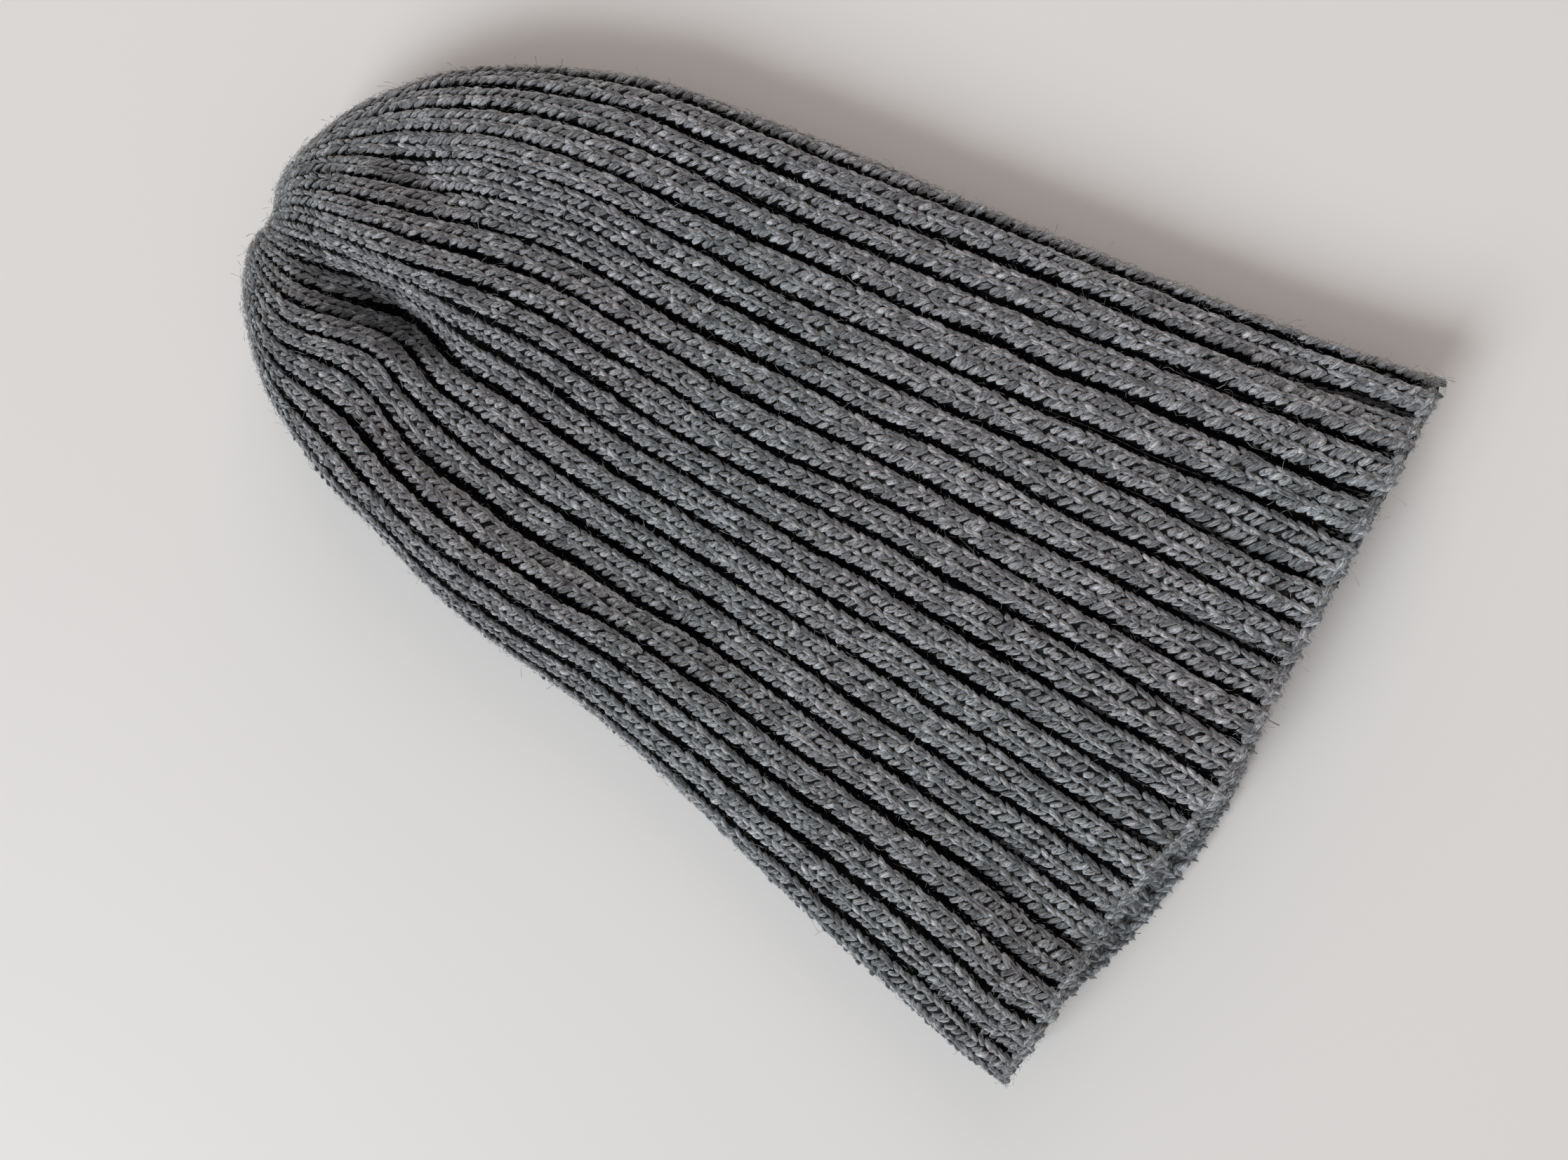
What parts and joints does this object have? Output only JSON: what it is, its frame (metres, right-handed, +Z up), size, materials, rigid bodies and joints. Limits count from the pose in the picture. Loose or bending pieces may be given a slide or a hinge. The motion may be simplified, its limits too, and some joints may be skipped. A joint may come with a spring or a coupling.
{
  "type": "fisherman beanie",
  "caption": "Knitted wool cap in two-by-two rib with a plain head opening and a gathered crown, lying flattened on a table.",
  "frame": {"origin": "middle of the hat's outline on the table, at the height of the face that it lies on", "axes": "+Y from the head opening to the gathered crown, +X across the hat towards its right fold seen from the opening, +Z up from the table"},
  "size_m": [0.2016, 0.2848, 0.0269],
  "materials": {
    "wool_rib": "matte heathered grey wool in two-by-two rib, with a soft fuzz"
  },
  "bodies": {
    "root": {"knit_shell": "wool_rib"}
  },
  "joints": []
}
